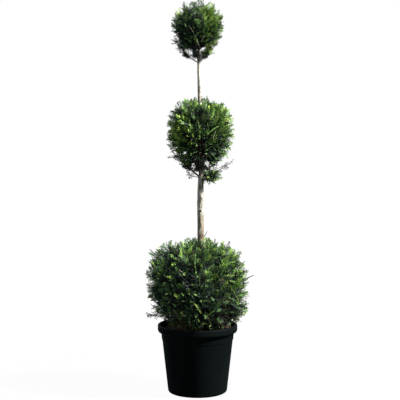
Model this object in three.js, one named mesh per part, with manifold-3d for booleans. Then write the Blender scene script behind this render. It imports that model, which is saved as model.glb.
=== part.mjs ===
// A cypress clipped into three balls on one trunk, in a black nursery pot.
// Millimetres, +Z up, -Y towards the viewer. The origin is the centre of the pot's flat underside.

import * as THREE from "three";
import { mergeVertices } from "three/addons/utils/BufferGeometryUtils.js";
import Module from "manifold-3d";

const wasm = await Module();
wasm.setup();

// Clearance between pieces that touch on the real plant.
const GAP = 0.35;
// Corners of a mesh this close are one corner.
const MERGE_DISTANCE = 1e-3;
const UP = new THREE.Vector3(0, 0, 1);

// Pot: a tapered tub, a shallow collar above a small step, and a rolled rim.
const POT_HEIGHT = 306;
const POT_WALL = 3;
const POT_FLOOR = 5;
const POT_HEEL = 10;
const POT_FOOT_RADIUS = 134;
const POT_STEP_HEIGHT = 236;
const POT_STEP = 2;
const POT_STEP_RADIUS = 159.5;
const POT_COLLAR_RADIUS = 164.5;
const POT_RIM_RADIUS = 180;
const POT_RIM_HEIGHT = 38;
const POT_RIM_ROUND = 7;
const POT_FACETS = 32;
const POT_CURVE_STEPS = 2;
const DRAIN_HOLES = 6;
const DRAIN_RADIUS = 10;
const DRAIN_CIRCLE = 96;
const DRAIN_SIDES = 8;

// Potting soil, level round the trunk and lumpy towards the wall.
const SOIL_TOP = 284;
const SOIL_LUMP = 2.5;
const SOIL_WAVE_LENGTHS = [17, 13, 29];
const SOIL_LEVEL_RADIUS = 45;
const SOIL_MIDDLE_RADIUS = 104;

// Trunk: [x, y, z, radius] from just under its flat cut at the soil to the leader's tip in the top ball.
const TRUNK_SUNK = 6;
const TRUNK_STATIONS = [
  [6, 0, SOIL_TOP - TRUNK_SUNK, 25],
  [8, 0, 320, 17.5],
  [13, 2, 480, 15],
  [14, 3, 690, 14],
  [14, 1, 935, 12.8],
  [20, -2, 1030, 11.5],
  [17, -3, 1180, 9.4],
  [9, 0, 1330, 7.8],
  [6, 2, 1476, 7],
  [6, 1, 1580, 5.2],
  [1, 0, 1715, 2.2],
];
const TRUNK_SIDES = 10;
const TRUNK_STEPS = 36;
const TRUNK_HALVINGS = 24;
const ROOT_LOBES = 5;
const ROOT_LOBE_DEPTH = 0.14;
const ROOT_FLARE_HEIGHT = 36;
const TRUNK_MARGIN = 2;

// Pruning scars on the bare trunk: height, bearing (0 is +X, 270 faces the viewer), swelling.
const KNOTS = [
  { z: 817, bearing: 255, swell: 2.6 },
  { z: 857, bearing: 175, swell: 1.8 },
  { z: 902, bearing: 300, swell: 1.6 },
  { z: 1402, bearing: 10, swell: 1.0 },
];
const KNOT_HEIGHT = 9;

// Foliage: a spray is a slightly bent blade with two pairs of teeth and a tip.
const SPRAY_WIDTH_SHARE = 0.21;
const SPRAY_THICK_SHARE = 0.075;
const SPRAY_BEND_SHARE = 0.12;
const SPRAY_RIDGE_SHARE = 0.3;
// Right half of the blade's outline, as shares of its half width and of its length.
const SPRAY_HALF_OUTLINE = [
  [0.22, 0],
  [0.8, 0.45],
  [0.35, 0.46],
  [1, 0.8],
  [0.22, 0.72],
];

// Shoots lean up and out of the core to the outline. Every fifth one is a twig with two sprays.
const GOLDEN_ANGLE = Math.PI * (3 - Math.sqrt(5));
const SHOOT_TRIES = 4;
const SHOOT_RISE = 0.55;
const SHOOT_SCATTER = 0.25;
const SHOOT_SUNK = 9;
const SHOOT_REACH = [0.965, 0.999];
const TIP_SCATTER = 0.1;
const SPRAY_ROLL = 0.8;
const TWIG_EVERY = 5;
const TWIG_SIDES = 3;
const TWIG_THICK = 2.4;
const TWIG_THIN = 1.3;
const TWIG_SHARE = 0.55;
const END_SPRAY_FROM = 0.45;
const SIDE_SPRAY_FROM = 0.34;
const SIDE_SPRAY_SHARE = 0.62;
const SIDE_SPRAY_TURN = 1;

// Clipped balls. Each outline is a squared-off ellipsoid: its half width, its reach up and down from
// its widest height, how square it is above and below that height, and how far it leans to +X below it.
// The core is a share of it.
const BALLS = {
  bottom: {
    centre: [-4, 0, 488],
    wide: 236,
    up: 208,
    down: 196,
    upperPower: 2.35,
    lowerPower: 2.6,
    lean: 0.16,
    core: 0.7,
    coreDown: 0.91,
    coreDetail: 3,
    shoots: 96,
    seed: 11,
    floor: SOIL_TOP + 2 * SOIL_LUMP + TRUNK_MARGIN,
  },
  middle: {
    centre: [11, 0, 1188],
    wide: 154,
    up: 144,
    down: 222,
    upperPower: 2.2,
    lowerPower: 1.75,
    lean: 0,
    core: 0.66,
    coreDown: 0.6,
    coreDetail: 2,
    shoots: 64,
    seed: 23,
    floor: 0,
  },
  top: {
    centre: [1, 0, 1630],
    wide: 114,
    up: 138,
    down: 152,
    upperPower: 2.1,
    lowerPower: 1.5,
    lean: 0,
    core: 0.62,
    coreDown: 0.56,
    coreDetail: 2,
    shoots: 42,
    seed: 37,
    floor: 0,
  },
};
const OUTLINE_LUMP = 0.02;
const OUTLINE_WAVES = 5;
const CORE_LUMP = 0.05;
const CORE_WAVES = 9;

// Long stray shoots that the shears missed on the bottom ball, from inside the core to the tip.
const STRAYS = [
  { from: [120, 0, 470], to: [254, -2, 527], thick: 3.8, sprays: 0 },
  { from: [-110, 0, 545], to: [-216, 0, 644], thick: 3.8, sprays: 0 },
  { from: [-95, -18, 340], to: [-214, -22, 349], thick: 3, sprays: 2 },
];
const STRAY_TAPER = 0.5;
const STRAY_SPRAY = 30;
const STRAY_SPRAY_FROM = 0.7;
const STRAY_SPRAY_STEP = 0.1;
const STRAY_SPRAY_SPREAD = 0.5;

// Boughs in the open underside of a ball, with how far out and up the tip of each lies and how long the
// stem of its foliage is. A roof slopes up and outwards over that foliage, and the ball keeps above it.
// One bough under the middle ball stays low, and its foliage hangs.
const UNDERSIDES = {
  middle: {
    boughs: 5,
    phase: 180,
    leaves: 966,
    out: [60, 48, 40, 48, 48],
    rise: [48, 42, 4, 42, 38],
    stem: [56, 50, 26, 50, 50],
    stemLift: [0, 0, 0, 0, 0],
    thick: 4.4,
    roof: 1042,
    roofSlope: 0.42,
    spray: 66,
    seed: 41,
  },
  top: {
    boughs: 5,
    phase: 180,
    leaves: 1480,
    out: [58, 34, 46, 34, 34],
    rise: [36, 30, 36, 30, 28],
    stem: [64, 36, 30, 36, 36],
    stemLift: [0.55, 0, 0, 0, 0],
    thick: 2.8,
    roof: 1546,
    roofSlope: 0.42,
    spray: 48,
    seed: 53,
  },
};
const BOUGH_SIDES = 5;
const BOUGH_STEPS = 4;
const BOUGH_TAPER = 0.55;
const BOUGH_ARCH = -0.05;
const BOUGH_STAGGER = 4;

// A clump's own twigs leave its stem by turns to both sides.
const CLUMP_MARGIN = 1.5;
const CLUMP_TWIGS = 3;
const CLUMP_TWIG_FROM = 0.12;
const CLUMP_TWIG_STEP = 0.27;
const CLUMP_SPREAD = [0.7, 1.3];
const CLUMP_SCATTER = 0.35;
const CLUMP_LIFT = [0, 0.9];
const CLUMP_SLOPE = 1.6;
const CLUMP_TWIG_SHARE = 0.4;
const CLUMP_SPRAY_SHARE = 0.95;
const CLUMP_THIN = 0.5;

const MATERIALS = {
  pot: new THREE.MeshStandardMaterial({ color: 0x0b0e0e, roughness: 0.55, metalness: 0 }),
  soil: new THREE.MeshStandardMaterial({ color: 0x1f1813, roughness: 1, metalness: 0 }),
  bark: new THREE.MeshStandardMaterial({ color: 0x8a7a5e, roughness: 0.9, metalness: 0 }),
  foliage: new THREE.MeshStandardMaterial({ color: 0x3f6a2c, roughness: 0.7, metalness: 0 }),
};

// Seeded random numbers: random(seed) starts a series, random() continues it.
const random = THREE.MathUtils.seededRandom;
const between = (low, high) => low + (high - low) * random();
const vector = (list) => new THREE.Vector3(...list);

// A closed three.js geometry as a solid that can be joined and cut.
function solidOf(geometry) {
  const bare = new THREE.BufferGeometry();
  bare.setAttribute("position", geometry.getAttribute("position"));
  bare.setIndex(geometry.index);
  const merged = mergeVertices(bare, MERGE_DISTANCE);
  return new wasm.Manifold(
    new wasm.Mesh({
      numProp: 3,
      vertProperties: merged.getAttribute("position").array,
      triVerts: new Uint32Array(merged.index.array),
    }),
  );
}

function geometryOf(solid) {
  const mesh = solid.getMesh();
  const geometry = new THREE.BufferGeometry();
  geometry.setAttribute("position", new THREE.BufferAttribute(mesh.vertProperties, 3));
  geometry.setIndex(new THREE.BufferAttribute(mesh.triVerts, 1));
  geometry.computeVertexNormals();
  return geometry;
}

// The largest body of a solid: loose scraps go, and hollows sealed by fusing are filled.
function wholeOf(solid) {
  const bodies = solid.decompose();
  return bodies.reduce((best, body) => (body.volume() > best.volume() ? body : best));
}

// A tapering limb: a cylinder bent along a curve, with its radius given by place and angle.
function limb(curve, radiusAt, sides, steps) {
  const geometry = new THREE.CylinderGeometry(1, 1, 1, sides, steps);
  const frames = curve.computeFrenetFrames(steps, false);
  const position = geometry.getAttribute("position");
  for (let i = 0; i < position.count; i++) {
    const t = position.getY(i) + 0.5;
    const step = Math.round(t * steps);
    const angle = Math.atan2(position.getX(i), position.getZ(i));
    const out = Math.hypot(position.getX(i), position.getZ(i)) * radiusAt(t, angle);
    const place = curve
      .getPoint(t)
      .addScaledVector(frames.normals[step], out * Math.cos(angle))
      .addScaledVector(frames.binormals[step], out * Math.sin(angle));
    position.setXYZ(i, place.x, place.y, place.z);
  }
  return geometry;
}

function lathe(points, facets) {
  return new THREE.LatheGeometry(points, facets).rotateX(Math.PI / 2);
}

// Pot

function potWallRadius(z) {
  const share = (z - POT_HEEL) / (POT_STEP_HEIGHT - POT_HEEL);
  return THREE.MathUtils.lerp(POT_FOOT_RADIUS, POT_STEP_RADIUS, share) - POT_WALL;
}

function potGeometry() {
  const rimFoot = POT_HEIGHT - POT_RIM_HEIGHT;
  const lip = POT_COLLAR_RADIUS + POT_WALL;
  const profile = new THREE.Path();
  profile.moveTo(0, 0);
  profile.lineTo(POT_FOOT_RADIUS - POT_HEEL, 0);
  profile.quadraticCurveTo(POT_FOOT_RADIUS, 0, POT_FOOT_RADIUS, POT_HEEL);
  profile.lineTo(POT_STEP_RADIUS, POT_STEP_HEIGHT);
  profile.lineTo(POT_STEP_RADIUS + POT_STEP, POT_STEP_HEIGHT + POT_STEP);
  profile.lineTo(POT_COLLAR_RADIUS, rimFoot);
  profile.lineTo(POT_RIM_RADIUS - POT_STEP, rimFoot + POT_RIM_ROUND);
  profile.lineTo(POT_RIM_RADIUS, rimFoot + 2 * POT_RIM_ROUND);
  profile.lineTo(POT_RIM_RADIUS, POT_HEIGHT - POT_RIM_ROUND);
  profile.quadraticCurveTo(POT_RIM_RADIUS, POT_HEIGHT, POT_RIM_RADIUS - POT_RIM_ROUND, POT_HEIGHT);
  profile.quadraticCurveTo(lip, POT_HEIGHT, lip, POT_HEIGHT - POT_WALL);
  profile.lineTo(POT_COLLAR_RADIUS - POT_WALL, rimFoot);
  profile.lineTo(potWallRadius(POT_STEP_HEIGHT), POT_STEP_HEIGHT);
  profile.lineTo(potWallRadius(POT_HEEL), POT_HEEL);
  profile.lineTo(potWallRadius(POT_HEEL) - POT_FLOOR, POT_FLOOR);
  profile.lineTo(0, POT_FLOOR);

  let solid = solidOf(lathe(profile.getPoints(POT_CURVE_STEPS), POT_FACETS));
  const drain = new THREE.CylinderGeometry(DRAIN_RADIUS, DRAIN_RADIUS, 4 * POT_FLOOR, DRAIN_SIDES);
  drain.rotateX(Math.PI / 2).translate(DRAIN_CIRCLE, 0, 0);
  for (let i = 0; i < DRAIN_HOLES; i++) {
    const hole = drain.clone().rotateZ(((i + 0.5) / DRAIN_HOLES) * 2 * Math.PI);
    solid = solid.subtract(solidOf(hole));
  }
  return geometryOf(solid);
}

// Soil

function soilGeometry() {
  const rim = POT_HEIGHT - POT_RIM_HEIGHT;
  const topRadius = POT_COLLAR_RADIUS - POT_WALL - GAP;
  const points = [
    new THREE.Vector2(0, POT_FLOOR + GAP),
    new THREE.Vector2(potWallRadius(POT_HEEL) - POT_FLOOR - GAP, POT_FLOOR + GAP),
    new THREE.Vector2(potWallRadius(POT_HEEL) - GAP, POT_HEEL + GAP),
    new THREE.Vector2(potWallRadius(POT_STEP_HEIGHT) - GAP, POT_STEP_HEIGHT),
    new THREE.Vector2(topRadius, rim),
  ];
  for (const radius of [topRadius, SOIL_MIDDLE_RADIUS, SOIL_LEVEL_RADIUS, 0]) {
    points.push(new THREE.Vector2(radius, SOIL_TOP));
  }
  const geometry = lathe(points, POT_FACETS);
  const position = geometry.getAttribute("position");
  const [along, across, aslant] = SOIL_WAVE_LENGTHS;
  for (let i = 0; i < position.count; i++) {
    const [x, y, z] = [position.getX(i), position.getY(i), position.getZ(i)];
    if (z < SOIL_TOP - GAP || Math.hypot(x, y) < SOIL_MIDDLE_RADIUS - GAP) continue;
    const wave = Math.sin(x / along) * Math.cos(y / across) + Math.sin((x + y) / aslant);
    position.setZ(i, z + SOIL_LUMP * wave);
  }
  return geometry;
}

// Trunk

const trunkCurve = new THREE.CatmullRomCurve3(TRUNK_STATIONS.map(([x, y, z]) => vector([x, y, z])));

function trunkRadius(z) {
  const next = TRUNK_STATIONS.findIndex((station) => station[2] >= z);
  if (next <= 0) return TRUNK_STATIONS.at(next)[3];
  const [low, high] = [TRUNK_STATIONS[next - 1], TRUNK_STATIONS[next]];
  const share = (z - low[2]) / (high[2] - low[2]);
  return THREE.MathUtils.lerp(low[3], high[3], share);
}

function knotSwelling(z, bearing) {
  return KNOTS.reduce((sum, knot) => {
    const turn = Math.cos(bearing - THREE.MathUtils.degToRad(knot.bearing));
    const rise = (z - knot.z) / KNOT_HEIGHT;
    return sum + knot.swell * Math.exp(-rise * rise) * Math.max(0, turn);
  }, 0);
}

// The trunk's sections start at the corner that faces the viewer, a quarter turn from +X.
const FIRST_CORNER = Math.PI / 2;

function trunkSolid(extra = 0) {
  const radiusAt = (t, angle) => {
    const z = trunkCurve.getPoint(t).z;
    const foot = Math.exp((SOIL_TOP - z) / ROOT_FLARE_HEIGHT);
    const lobes = 1 + ROOT_LOBE_DEPTH * foot * Math.cos(ROOT_LOBES * angle);
    return trunkRadius(z) * lobes + knotSwelling(z, angle - FIRST_CORNER) + extra;
  };
  const solid = solidOf(limb(trunkCurve, radiusAt, TRUNK_SIDES, TRUNK_STEPS));
  return solid.trimByPlane([0, 0, 1], SOIL_TOP + GAP - extra);
}

// The trunk's middle at a height, found by halving.
function trunkPoint(z) {
  let [low, high] = [0, 1];
  for (let i = 0; i < TRUNK_HALVINGS; i++) {
    const middle = (low + high) / 2;
    if (trunkCurve.getPoint(middle).z < z) low = middle;
    else high = middle;
  }
  return trunkCurve.getPoint(low);
}

const trunkClearance = trunkSolid(GAP);

function touchesTrunk(point) {
  const middle = trunkPoint(point.z);
  return Math.hypot(point.x - middle.x, point.y - middle.y) < trunkRadius(point.z) + TRUNK_MARGIN;
}

// Foliage

// A spray in its own frame: root at the origin, tip on +Y, flat side towards Z.
function sprayGeometry(length) {
  const halfWidth = length * SPRAY_WIDTH_SHARE;
  const bend = (y) => SPRAY_BEND_SHARE * length * (y / length) ** 2;
  const right = SPRAY_HALF_OUTLINE.map(([x, y]) => [x * halfWidth, y * length]);
  const left = right.map(([x, y]) => [-x, y]).reverse();
  const outline = [...right, [0, length], ...left];
  const ridge = SPRAY_RIDGE_SHARE * length;
  const half = (SPRAY_THICK_SHARE * length) / 2;
  const points = outline.flatMap(([x, y]) => [x, y, bend(y)]);
  points.push(0, ridge, bend(ridge) + half, 0, ridge, bend(ridge) - half);
  const [top, bottom] = [outline.length, outline.length + 1];
  const faces = outline.flatMap((_, i) => {
    const next = (i + 1) % outline.length;
    return [top, i, next, bottom, next, i];
  });
  const geometry = new THREE.BufferGeometry();
  geometry.setAttribute("position", new THREE.Float32BufferAttribute(points, 3));
  geometry.setIndex(faces);
  return geometry;
}

// A spray from root to tip, turned by roll about its own axis.
function spray(root, tip, roll) {
  const along = tip.clone().sub(root);
  const length = along.length();
  along.normalize();
  const across = new THREE.Vector3().crossVectors(along, UP);
  if (across.length() < MERGE_DISTANCE) across.set(1, 0, 0);
  across.normalize().applyAxisAngle(along, roll);
  const face = new THREE.Vector3().crossVectors(across, along);
  const frame = new THREE.Matrix4().makeBasis(across, along, face).setPosition(root);
  return sprayGeometry(length).applyMatrix4(frame);
}

function twig(from, to, thick, thin) {
  const line = new THREE.LineCurve3(from, to);
  return limb(line, (t) => THREE.MathUtils.lerp(thick, thin, t), TWIG_SIDES, 1);
}

function everyPoint(geometry, test) {
  const position = geometry.getAttribute("position");
  const point = new THREE.Vector3();
  for (let i = 0; i < position.count; i++) {
    if (!test(point.fromBufferAttribute(position, i))) return false;
  }
  return true;
}

// Lumps in a direction round a ball, from -2 to 2.
function lumps({ seed }, { x, y, z }, waves) {
  return Math.sin(waves * x + seed) * Math.sin(waves * y - seed) + Math.sin(waves * z + seed);
}

// Distance from a ball's centre to its clipped outline in a direction, before its lean.
function ballReach(ball, direction) {
  const { x, y, z } = direction;
  const power = z > 0 ? ball.upperPower : ball.lowerPower;
  const flat = Math.hypot(x, y) / ball.wide;
  const tall = Math.abs(z) / (z > 0 ? ball.up : ball.down);
  const even = (flat ** power + tall ** power) ** (-1 / power);
  return even * (1 + OUTLINE_LUMP * lumps(ball, direction, OUTLINE_WAVES));
}

// An offset from a ball's centre with its lean put in (way 1) or taken out (way -1).
function leaned(ball, offset, way) {
  offset.x += way * ball.lean * Math.max(0, -offset.z);
  return offset;
}

function inBall(ball, point) {
  const offset = leaned(ball, point.clone().sub(vector(ball.centre)), -1);
  const distance = offset.length();
  return distance <= ballReach(ball, offset.normalize());
}

// A point of the core's surface in a direction.
function corePoint(ball, direction) {
  const lumpy = 1 + CORE_LUMP * lumps(ball, direction, CORE_WAVES);
  const out = direction.clone().multiplyScalar(ballReach(ball, direction) * lumpy);
  const share = new THREE.Vector3(ball.core, ball.core, out.z > 0 ? ball.core : ball.coreDown);
  return leaned(ball, out.multiply(share), 1).add(vector(ball.centre));
}

function coreGeometry(ball) {
  const geometry = new THREE.IcosahedronGeometry(1, ball.coreDetail);
  const position = geometry.getAttribute("position");
  const direction = new THREE.Vector3();
  for (let i = 0; i < position.count; i++) {
    direction.fromBufferAttribute(position, i).normalize();
    position.setXYZ(i, ...corePoint(ball, direction));
  }
  return geometry;
}

// Even directions over a sphere, by the golden angle.
function evenDirection(index, count) {
  const z = 1 - (2 * (index + 0.5)) / count;
  const flat = Math.sqrt(1 - z * z);
  const angle = index * GOLDEN_ANGLE;
  return new THREE.Vector3(flat * Math.cos(angle), flat * Math.sin(angle), z);
}

const scatter = (size) => new THREE.Vector3(between(-size, size), between(-size, size), between(-size, size));

// A shoot out of the core: one spray, or a twig with a spray at its end and one at its side.
function shoot(ball, direction, onTwig) {
  const rise = SHOOT_RISE * Math.min(1, 1 + direction.z);
  const low = direction.clone().addScaledVector(UP, -rise).add(scatter(SHOOT_SCATTER)).normalize();
  const base = corePoint(ball, low).addScaledVector(low, -SHOOT_SUNK);
  const reach = ballReach(ball, direction) * between(...SHOOT_REACH);
  const tip = leaned(ball, direction.clone().multiplyScalar(reach), 1).add(vector(ball.centre));
  const roll = between(-SPRAY_ROLL, SPRAY_ROLL);
  if (!onTwig) return [spray(base, tip, roll)];
  const axis = tip.clone().sub(base);
  const at = (share) => base.clone().addScaledVector(axis, share);
  const aim = axis.clone().add(scatter(axis.length())).setLength(SIDE_SPRAY_SHARE * axis.length());
  return [
    twig(base, at(TWIG_SHARE), TWIG_THICK, TWIG_THIN),
    spray(at(END_SPRAY_FROM), tip, roll),
    spray(at(SIDE_SPRAY_FROM), at(SIDE_SPRAY_FROM).add(aim), roll + SIDE_SPRAY_TURN),
  ];
}

function strayShoot({ from, to, thick, sprays }) {
  const [root, tip] = [vector(from), vector(to)];
  const along = tip.clone().sub(root).normalize();
  const pieces = [twig(root, tip, thick, STRAY_TAPER * thick)];
  for (let i = 0; i < sprays; i++) {
    const start = root.clone().lerp(tip, STRAY_SPRAY_FROM + STRAY_SPRAY_STEP * i);
    const spread = i % 2 ? -STRAY_SPRAY_SPREAD : STRAY_SPRAY_SPREAD;
    const aim = along.clone().addScaledVector(UP, spread).setLength(STRAY_SPRAY);
    pieces.push(spray(start, start.clone().add(aim), 0));
  }
  return pieces;
}

// A ball: its core, the shoots that fit its space, and a hole for the trunk.
function ballGeometry(name) {
  const ball = BALLS[name];
  const underside = UNDERSIDES[name];
  const fits = (point) =>
    inBall(ball, point) &&
    !touchesTrunk(point) &&
    point.z > ball.floor &&
    (!underside || aboveRoofs(underside, point));
  random(ball.seed);
  const pieces = [];
  for (let i = 0; i < ball.shoots; i++) {
    for (let tries = 0; tries < SHOOT_TRIES; tries++) {
      const direction = evenDirection(i, ball.shoots).add(scatter(TIP_SCATTER)).normalize();
      const grown = shoot(ball, direction, i % TWIG_EVERY === 0);
      if (!grown.every((piece) => everyPoint(piece, fits))) continue;
      pieces.push(...grown);
      break;
    }
  }
  if (name === "bottom") pieces.push(...STRAYS.flatMap(strayShoot));
  const solids = [coreGeometry(ball), ...pieces].map(solidOf);
  return geometryOf(wholeOf(wasm.Manifold.union(solids).subtract(trunkClearance)));
}

// Boughs and the foliage they carry

function boughBearing(underside, index) {
  return THREE.MathUtils.degToRad(underside.phase + (360 / underside.boughs) * index);
}

// How far out a point lies along a bearing from where the boughs leave the trunk.
function outward(underside, point, bearing) {
  const foot = trunkPoint(underside.leaves);
  return (point.x - foot.x) * Math.cos(bearing) + (point.y - foot.y) * Math.sin(bearing);
}

function roofHeight(underside, point, index) {
  return underside.roof + underside.roofSlope * outward(underside, point, boughBearing(underside, index));
}

function aboveRoofs(underside, point) {
  for (let i = 0; i < underside.boughs; i++) {
    if (point.z < roofHeight(underside, point, i) + CLUMP_MARGIN) return false;
  }
  return true;
}

function boughCurve(underside, index) {
  const bearing = boughBearing(underside, index);
  const out = new THREE.Vector3(Math.cos(bearing), Math.sin(bearing), 0);
  const start = trunkPoint(underside.leaves + BOUGH_STAGGER * (index % 3));
  const tip = start.clone().addScaledVector(out, underside.out[index]);
  tip.z += underside.rise[index];
  const bend = start.clone().lerp(tip, 0.5).addScaledVector(UP, BOUGH_ARCH * underside.out[index]);
  return new THREE.QuadraticBezierCurve3(start, bend, tip);
}

function boughGeometry(name, index) {
  const underside = UNDERSIDES[name];
  const radiusAt = (t) => underside.thick * THREE.MathUtils.lerp(1, BOUGH_TAPER, t);
  const solid = solidOf(limb(boughCurve(underside, index), radiusAt, BOUGH_SIDES, BOUGH_STEPS));
  return geometryOf(wholeOf(solid.subtract(trunkClearance)));
}

// A clump keeps to its own wedge round the trunk, beyond the tip of its bough and under its roof.
function clumpFits(underside, index, point) {
  const bearing = boughBearing(underside, index);
  const out = outward(underside, point, bearing);
  const across = outward(underside, point, bearing + Math.PI / 2);
  return (
    out > underside.out[index] &&
    Math.abs(across) < out * Math.tan(Math.PI / underside.boughs) - CLUMP_MARGIN &&
    point.z < roofHeight(underside, point, index) - CLUMP_MARGIN
  );
}

// A clump: a stem on from the bough's tip, a spray at its end, and twigs with sprays to both sides.
function clumpGeometry(name, index) {
  const underside = UNDERSIDES[name];
  const fits = (point) => clumpFits(underside, index, point);
  const curve = boughCurve(underside, index);
  const root = curve.getPoint(1).addScaledVector(curve.getTangent(1), GAP);
  const along = curve.getTangent(1).addScaledVector(UP, underside.stemLift[index]).normalize();
  const across = new THREE.Vector3().crossVectors(along, UP).normalize();
  const at = (share) => root.clone().addScaledVector(along, share * underside.stem[index]);
  const thick = underside.thick * BOUGH_TAPER;
  const thin = thick * CLUMP_THIN;
  const sag = Math.max(0, 1 - CLUMP_SLOPE * (underside.rise[index] / underside.out[index]));
  random(underside.seed + index);
  const pieces = [spray(at(TWIG_SHARE), at(1).addScaledVector(along, underside.spray / 2), 0)];
  for (let i = 0; i < CLUMP_TWIGS; i++) {
    for (let tries = 0; tries < SHOOT_TRIES; tries++) {
      const spread = between(...CLUMP_SPREAD) * (i % 2 ? -1 : 1);
      const lift = between(...CLUMP_LIFT) - sag;
      const aim = along.clone().addScaledVector(across, spread).addScaledVector(UP, lift);
      aim.add(scatter(CLUMP_SCATTER)).normalize();
      const from = at(CLUMP_TWIG_FROM + CLUMP_TWIG_STEP * i);
      const end = from.clone().addScaledVector(aim, CLUMP_TWIG_SHARE * underside.spray);
      const middle = from.clone().lerp(end, 0.5);
      const tip = middle.clone().addScaledVector(aim, CLUMP_SPRAY_SHARE * underside.spray);
      const grown = [twig(from, end, thin, thin), spray(middle, tip, between(-SPRAY_ROLL, SPRAY_ROLL))];
      if (!grown.every((piece) => everyPoint(piece, fits))) continue;
      pieces.push(...grown);
      break;
    }
  }
  const solids = [twig(root, at(1), thick, thin), ...pieces].map(solidOf);
  return geometryOf(wholeOf(wasm.Manifold.union(solids)));
}

const parts = new THREE.Group();

function add(name, geometry, material) {
  const mesh = new THREE.Mesh(geometry, material);
  mesh.name = name;
  parts.add(mesh);
}

add("pot", potGeometry(), MATERIALS.pot);
add("soil", soilGeometry(), MATERIALS.soil);
add("trunk", geometryOf(trunkSolid()), MATERIALS.bark);
for (const name of Object.keys(BALLS)) add(`ball_${name}`, ballGeometry(name), MATERIALS.foliage);
for (const name of Object.keys(UNDERSIDES)) {
  for (let i = 0; i < UNDERSIDES[name].boughs; i++) {
    add(`bough_${name}_${i + 1}`, boughGeometry(name, i), MATERIALS.bark);
    add(`clump_${name}_${i + 1}`, clumpGeometry(name, i), MATERIALS.foliage);
  }
}

export default parts;
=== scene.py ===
import math

import bpy
import numpy as np
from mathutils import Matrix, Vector, noise
from numpy.linalg import norm


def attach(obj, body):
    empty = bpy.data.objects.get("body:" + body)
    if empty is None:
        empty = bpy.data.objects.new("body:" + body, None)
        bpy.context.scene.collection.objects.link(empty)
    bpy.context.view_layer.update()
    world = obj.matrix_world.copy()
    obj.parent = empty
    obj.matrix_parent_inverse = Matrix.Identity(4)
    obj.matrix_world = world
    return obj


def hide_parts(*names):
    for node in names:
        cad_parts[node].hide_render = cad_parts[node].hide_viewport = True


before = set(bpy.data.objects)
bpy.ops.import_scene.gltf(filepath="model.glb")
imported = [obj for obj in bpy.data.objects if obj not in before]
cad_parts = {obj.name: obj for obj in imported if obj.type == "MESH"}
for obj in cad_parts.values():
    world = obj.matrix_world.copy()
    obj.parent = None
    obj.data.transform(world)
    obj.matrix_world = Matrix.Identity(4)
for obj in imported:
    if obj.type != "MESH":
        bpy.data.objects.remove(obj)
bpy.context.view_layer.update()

# Sizes are in millimetres, as in the part's source, and meshes are made in metres.
MM = 0.001
UP = np.array([0.0, 0.0, 1.0])
RIGHT = np.array([1.0, 0.0, 0.0])
VIEWER = np.array([0.0, -1.0, 0.0])
TURN = 2 * math.pi
GOLDEN_ANGLE = math.pi * (3 - math.sqrt(5))
TINY = 1e-9
STEEP = 0.8

# Pot, as in the part's source: a tapered tub, a collar above a small step, and a rolled rim.
POT_HEIGHT = 306
POT_WALL = 3
POT_FLOOR = 5
POT_HEEL = 10
POT_FOOT_RADIUS = 134
POT_STEP_HEIGHT = 236
POT_STEP = 2
POT_STEP_RADIUS = 159.5
POT_COLLAR_RADIUS = 164.5
POT_RIM_RADIUS = 180
POT_RIM_HEIGHT = 38
POT_RIM_ROUND = 7
POT_SIDES = 160
POT_CORNER_STEPS = 6
POT_EDGE_ROUND = 1.2
DRAIN_HOLES = 6
DRAIN_RADIUS = 10
DRAIN_CIRCLE = 96
DRAIN_SIDES = 32

# Soil: lumps over the whole surface, and chips of composted bark lying in it.
SOIL_TOP = 284
SOIL_GAP = 0.35
SOIL_RINGS = 44
SOIL_SIDES = 120
SOIL_LUMP = 3.2
SOIL_LUMP_LENGTH = 26
SOIL_CRUMB = 1.6
SOIL_CRUMB_LENGTH = 7
SOIL_CRUMB_SLICE = 9
CHIPS = 900
CHIP_SEED = 5
CHIP_EDGE = 9
CHIP_CLEAR_OF_TRUNK = 26
CHIP_LENGTH = (5, 15)
CHIP_LIFT = 0.5
CHIP_TILT = 0.3
CHIP_THICK = (0.1, 0.26)
CHIP_TAPER = np.array([0.6, 1, 0.55])
CHIP_BEND = 0.08
CHIP_ROUGH = 0.03
CHIP_SIDES = 5

# Trunk: [x, y, z, radius] from its flat cut at the soil to the leader's tip in the top ball.
TRUNK_STATIONS = np.array([
    [6, 0, 278, 25],
    [8, 0, 320, 17.5],
    [13, 2, 480, 15],
    [14, 3, 690, 14],
    [14, 1, 935, 12.8],
    [20, -2, 1030, 11.5],
    [17, -3, 1180, 9.4],
    [9, 0, 1330, 7.8],
    [6, 2, 1476, 7],
    [6, 1, 1580, 5.2],
    [1, 0, 1715, 2.2],
])
TRUNK_FOOT = SOIL_TOP + SOIL_GAP
TRUNK_SIDES = 56
TRUNK_RING_STEP = 2.6
ROOT_LOBES = 5
ROOT_LOBE_DEPTH = 0.14
ROOT_FLARE_HEIGHT = 36
TRUNK_MARGIN = 3

# Bark relief: long fibres that wander round the trunk, shallow plates and cross cracks.
FIBRE_DEPTH = 0.075
FIBRE_FINENESS = 0.16
FIBRE_STRETCH = 0.07
FIBRE_WANDER = 3
WANDER_FINENESS = 0.02
PLATE_DEPTH = 0.05
PLATE_FINENESS = 0.05
PLATE_STRETCH = 0.4
CRACK_DEPTH = 0.03
CRACK_FINENESS = 0.35
CRACK_STRETCH = 0.5
CRACK_SHARPNESS = 6
TRUNK_BARK_FINENESS = 1.6
BOUGH_BARK_FINENESS = 4.0

# Pruning scars on the bare trunk: height, bearing (0 is +X, 270 faces the viewer), swelling, radius.
KNOTS = [
    (817, 272, 2.6, 6.2),
    (857, 175, 1.8, 3.4),
    (902, 300, 1.6, 4.4),
    (1402, 10, 1.0, 2.2),
    (745, 70, 1.8, 4.0),
    (1440, 150, 0.9, 2.0),
]
KNOT_HEIGHT = 9
KNOT_HOLLOW = 0.9
SCAR_SIDES = 14
SCAR_SPAN = (-4.0, 1.9)
SCAR_PROFILE = np.array([0.8, 1.15, 1.05, 0.7])

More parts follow.
